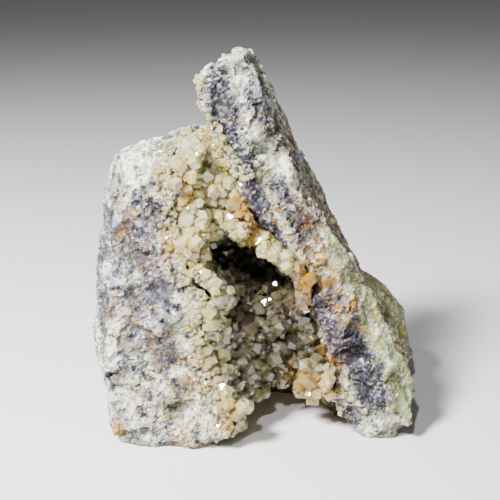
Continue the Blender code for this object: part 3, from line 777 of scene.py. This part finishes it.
# %% Make the quartz
LEMON = (0.97, 0.90, 0.50, 1)
HONEY = (0.96, 0.79, 0.28, 1)
MILK = (0.97, 0.95, 0.78, 1)
ROOT_STAIN_AND_SHADE = (0.46, 0.31, 0.10, 1)
PAINTED_SHADE_ROOT = (0.03, 0.022, 0.015, 1)
PAINTED_SHADE_TIP = (0.17, 0.135, 0.09, 1)
RUSTED = (0.58, 0.28, 0.04, 1)
QUARTZ_IOR = 1.544


def quartz_colours():
    """The quartz from its lemon and honey body to earthy, partly shaded roots, painted shade and rust.
    """
    tree, out = group("quartz_colours", [("Color", "NodeSocketColor")])
    drift = ramp(tree, cloud(tree, 4.0, 3.0), 0.4, 0.6)
    colour = blend(tree, drift, LEMON, HONEY)
    milky = ramp(tree, cloud(tree, 1.2, 2.0), 0.42, 0.62)
    colour = blend(tree, milky, colour, MILK)
    # The roots turn earthy: a real stain that also serves as painted shade in the gaps between the
    # points.
    root = ramp(tree, mask(tree, "height"), 0.0, 0.5, 0.8, 0.0)
    colour = blend(tree, root, colour, ROOT_STAIN_AND_SHADE)
    # Painted shade deep in the hollow: very dark at the roots, a little lighter towards the tips.
    painted_shade = blend(tree, ramp(tree, mask(tree, "height"), 0.2, 1.0), PAINTED_SHADE_ROOT, PAINTED_SHADE_TIP)
    colour = blend(tree, times(tree, mask(tree, "painted_shade"), 0.92), colour, painted_shade)
    colour = blend(tree, times(tree, mask(tree, "tint"), 0.8), colour, RUSTED)
    colour = put(tree, "ShaderNodeHueSaturation", {"Color": colour, "Saturation": 1.15}).outputs[0]
    tree.links.new(colour, out.inputs["Color"])
    return tree


quartz_finish, tree, shader = new_material("milky_quartz")
looks = put(tree, "ShaderNodeGroup", node_tree=quartz_colours())
tree.links.new(looks.outputs["Color"], shader.inputs["Base Color"])
shader.inputs["Roughness"].default_value = 0.06
shader.inputs["IOR"].default_value = QUARTZ_IOR
shader.inputs["Transmission Weight"].default_value = 0.7
shader.inputs["Coat Weight"].default_value = 0.7
for piece in (crust, points, rim):
    piece.data.materials.append(quartz_finish)
print("quartz finish on", [piece.name for piece in (crust, points, rim)])

# %% [markdown]
# The stone stands on a plain pale floor. One soft light from the upper left gives the bright left
# lobe and the shaded hollow. A very small light in front makes glints on the faces of the quartz,
# and a pale surround fills the shadows a little.

# %% Set the stage
FLOOR_REACH = 1.7
bm = bmesh.new()
bmesh.ops.create_grid(bm, x_segments=1, y_segments=1, size=FLOOR_REACH)
floor_mesh = bpy.data.meshes.new("floor")
bm.to_mesh(floor_mesh)
bm.free()
floor = bpy.data.objects.new("floor", floor_mesh)
bpy.context.scene.collection.objects.link(floor)
floor_finish, tree, shader = new_material("pale_floor")
shader.inputs["Base Color"].default_value = (0.62, 0.61, 0.60, 1)
shader.inputs["Roughness"].default_value = 0.8
floor_mesh.materials.append(floor_finish)


def soft_light(name, place, aim, size, power, colour):
    """A square light at place that looks at aim, with its size in metres and power in watts."""
    data = bpy.data.lights.new(name, "AREA")
    data.size = size
    data.energy = power
    data.color = colour
    made = bpy.data.objects.new(name, data)
    made.location = place
    made.rotation_euler = (Vector(aim) - Vector(place)).to_track_quat("-Z", "Y").to_euler()
    bpy.context.scene.collection.objects.link(made)


LIT_SPOT = (0, 0, 0.03)
KEY_PLACE = (-0.145, -0.118, 0.225)
GLINT_PLACE = (-0.05, -0.21, 0.25)
soft_light("key", KEY_PLACE, LIT_SPOT, 0.06, 4.35, (0.985, 0.995, 1))
soft_light("glint", GLINT_PLACE, LIT_SPOT, 0.010, 0.7, (0.95, 0.98, 1))
world = bpy.data.worlds.new("surround")
world.use_nodes = True
world.node_tree.nodes["Background"].inputs["Color"].default_value = (0.80, 0.84, 0.90, 1)
world.node_tree.nodes["Background"].inputs["Strength"].default_value = 0.17
bpy.context.scene.world = world

# %% [markdown]
# The camera stands near, in front, and looks down a little. Distance and lens belong together:
# from nearer by, with a shorter lens, the lobe would look larger against the peak behind it.

# %% Place the camera
CAMERA_DISTANCE = 145.0
CAMERA_PITCH = math.radians(18)
SENSOR_WIDTH = 36.0
LENS_LENGTH = 67.2
NEAREST_SEEN = 0.005
AIM = Vector((-1.5, -2.2, 27.0)) * MM
lens = bpy.data.cameras.new("camera")
lens.sensor_width = SENSOR_WIDTH
lens.lens = LENS_LENGTH
lens.clip_start = NEAREST_SEEN
camera = bpy.data.objects.new("camera", lens)
back = Vector((0, -math.cos(CAMERA_PITCH), math.sin(CAMERA_PITCH)))
camera.location = AIM + back * CAMERA_DISTANCE * MM
camera.rotation_euler = (-back).to_track_quat("-Z", "Y").to_euler()
bpy.context.scene.collection.objects.link(camera)
bpy.context.scene.camera = camera
print("camera at", [round(c, 3) for c in camera.location])
